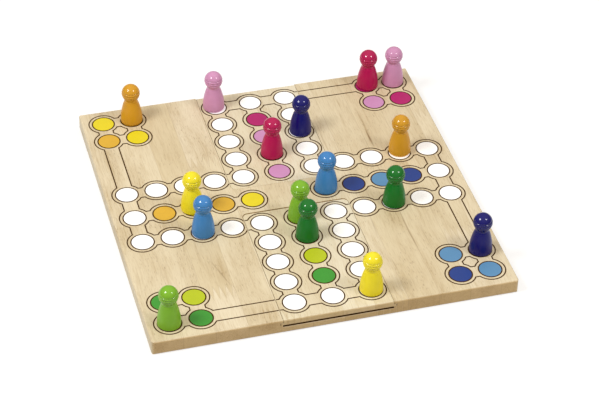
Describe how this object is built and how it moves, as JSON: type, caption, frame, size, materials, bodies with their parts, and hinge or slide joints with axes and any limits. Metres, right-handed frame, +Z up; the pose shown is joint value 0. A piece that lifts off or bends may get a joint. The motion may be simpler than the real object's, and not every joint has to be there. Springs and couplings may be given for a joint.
{
  "type": "wooden ludo board with sliding lids",
  "caption": "Square wooden board printed with a ludo track, with lids that slide out of its top over shallow trays, and turned pawns standing on the fields.",
  "frame": {"origin": "middle of the board's underside", "axes": "+X to the right, +Y to the rear and along both lids' travel, +Z up out of the playing face"},
  "size_m": [0.291, 0.291, 0.0486],
  "materials": {
    "board_wood": "satin clear lacquer on finger-jointed rubberwood",
    "lid_wood": "satin clear lacquer on pale rubberwood",
    "line_print": "dark brown printed lines",
    "white_print": "opaque white print",
    "green_print": "opaque green print",
    "yellow_green_print": "opaque yellow green print",
    "dark_blue_print": "opaque dark blue print",
    "light_blue_print": "opaque light blue print",
    "magenta_print": "opaque magenta print",
    "pink_print": "opaque pink print",
    "orange_print": "opaque orange print",
    "yellow_print": "opaque yellow print",
    "green_lacquer": "glossy green lacquer on turned wood",
    "yellow_green_lacquer": "glossy yellow green lacquer on turned wood",
    "dark_blue_lacquer": "glossy dark blue lacquer on turned wood",
    "light_blue_lacquer": "glossy light blue lacquer on turned wood",
    "magenta_lacquer": "glossy magenta lacquer on turned wood",
    "pink_lacquer": "glossy pink lacquer on turned wood",
    "orange_lacquer": "glossy orange lacquer on turned wood",
    "yellow_lacquer": "glossy yellow lacquer on turned wood"
  },
  "bodies": {
    "board": {"base_board": "board_wood", "board_lines": "line_print", "board_white_discs": "white_print", "board_green_discs": "green_print", "board_yellow_green_discs": "yellow_green_print", "board_dark_blue_discs": "dark_blue_print", "board_light_blue_discs": "light_blue_print", "board_magenta_discs": "magenta_print", "board_pink_discs": "pink_print", "board_orange_discs": "orange_print", "board_yellow_discs": "yellow_print"},
    "front_lid": {"front_lid": "lid_wood", "front_lid_lines": "line_print", "front_lid_white_discs": "white_print", "front_lid_green_discs": "green_print", "front_lid_yellow_green_discs": "yellow_green_print"},
    "rear_lid": {"rear_lid": "lid_wood", "rear_lid_lines": "line_print", "rear_lid_white_discs": "white_print", "rear_lid_magenta_discs": "magenta_print", "rear_lid_pink_discs": "pink_print"},
    "pawn_green_1": {"pawn_green_1": "green_lacquer"},
    "pawn_green_2": {"pawn_green_2": "green_lacquer"},
    "pawn_yellow_green_1": {"pawn_yellow_green_1": "yellow_green_lacquer"},
    "pawn_yellow_green_2": {"pawn_yellow_green_2": "yellow_green_lacquer"},
    "pawn_dark_blue_1": {"pawn_dark_blue_1": "dark_blue_lacquer"},
    "pawn_dark_blue_2": {"pawn_dark_blue_2": "dark_blue_lacquer"},
    "pawn_light_blue_1": {"pawn_light_blue_1": "light_blue_lacquer"},
    "pawn_light_blue_2": {"pawn_light_blue_2": "light_blue_lacquer"},
    "pawn_magenta_1": {"pawn_magenta_1": "magenta_lacquer"},
    "pawn_magenta_2": {"pawn_magenta_2": "magenta_lacquer"},
    "pawn_pink_1": {"pawn_pink_1": "pink_lacquer"},
    "pawn_pink_2": {"pawn_pink_2": "pink_lacquer"},
    "pawn_orange_1": {"pawn_orange_1": "orange_lacquer"},
    "pawn_orange_2": {"pawn_orange_2": "orange_lacquer"},
    "pawn_yellow_1": {"pawn_yellow_1": "yellow_lacquer"},
    "pawn_yellow_2": {"pawn_yellow_2": "yellow_lacquer"}
  },
  "joints": [
    {"name": "front_lid_slide", "type": "slide", "parent": "board", "child": "front_lid", "axis": [0, -1, 0], "range_m": [-0.001, 0.105]},
    {"name": "rear_lid_slide", "type": "slide", "parent": "board", "child": "rear_lid", "axis": [0, 1, 0], "range_m": [0, 0.105]},
    {"name": "pawn_green_1_lift", "type": "slide", "parent": "board", "child": "pawn_green_1", "axis": [0, 0, 1], "range_m": [0, 0.06]},
    {"name": "pawn_green_2_lift", "type": "slide", "parent": "front_lid", "child": "pawn_green_2", "axis": [0, 0, 1], "range_m": [0, 0.06]},
    {"name": "pawn_yellow_green_1_lift", "type": "slide", "parent": "front_lid", "child": "pawn_yellow_green_1", "axis": [0, 0, 1], "range_m": [0, 0.06]},
    {"name": "pawn_yellow_green_2_lift", "type": "slide", "parent": "board", "child": "pawn_yellow_green_2", "axis": [0, 0, 1], "range_m": [0, 0.06]},
    {"name": "pawn_dark_blue_1_lift", "type": "slide", "parent": "rear_lid", "child": "pawn_dark_blue_1", "axis": [0, 0, 1], "range_m": [0, 0.06]},
    {"name": "pawn_dark_blue_2_lift", "type": "slide", "parent": "board", "child": "pawn_dark_blue_2", "axis": [0, 0, 1], "range_m": [0, 0.06]},
    {"name": "pawn_light_blue_1_lift", "type": "slide", "parent": "board", "child": "pawn_light_blue_1", "axis": [0, 0, 1], "range_m": [0, 0.06]},
    {"name": "pawn_light_blue_2_lift", "type": "slide", "parent": "board", "child": "pawn_light_blue_2", "axis": [0, 0, 1], "range_m": [0, 0.06]},
    {"name": "pawn_magenta_1_lift", "type": "slide", "parent": "board", "child": "pawn_magenta_1", "axis": [0, 0, 1], "range_m": [0, 0.06]},
    {"name": "pawn_magenta_2_lift", "type": "slide", "parent": "rear_lid", "child": "pawn_magenta_2", "axis": [0, 0, 1], "range_m": [0, 0.06]},
    {"name": "pawn_pink_1_lift", "type": "slide", "parent": "rear_lid", "child": "pawn_pink_1", "axis": [0, 0, 1], "range_m": [0, 0.06]},
    {"name": "pawn_pink_2_lift", "type": "slide", "parent": "board", "child": "pawn_pink_2", "axis": [0, 0, 1], "range_m": [0, 0.06]},
    {"name": "pawn_orange_1_lift", "type": "slide", "parent": "board", "child": "pawn_orange_1", "axis": [0, 0, 1], "range_m": [0, 0.06]},
    {"name": "pawn_orange_2_lift", "type": "slide", "parent": "board", "child": "pawn_orange_2", "axis": [0, 0, 1], "range_m": [0, 0.06]},
    {"name": "pawn_yellow_1_lift", "type": "slide", "parent": "board", "child": "pawn_yellow_1", "axis": [0, 0, 1], "range_m": [0, 0.06]},
    {"name": "pawn_yellow_2_lift", "type": "slide", "parent": "front_lid", "child": "pawn_yellow_2", "axis": [0, 0, 1], "range_m": [0, 0.06]}
  ]
}
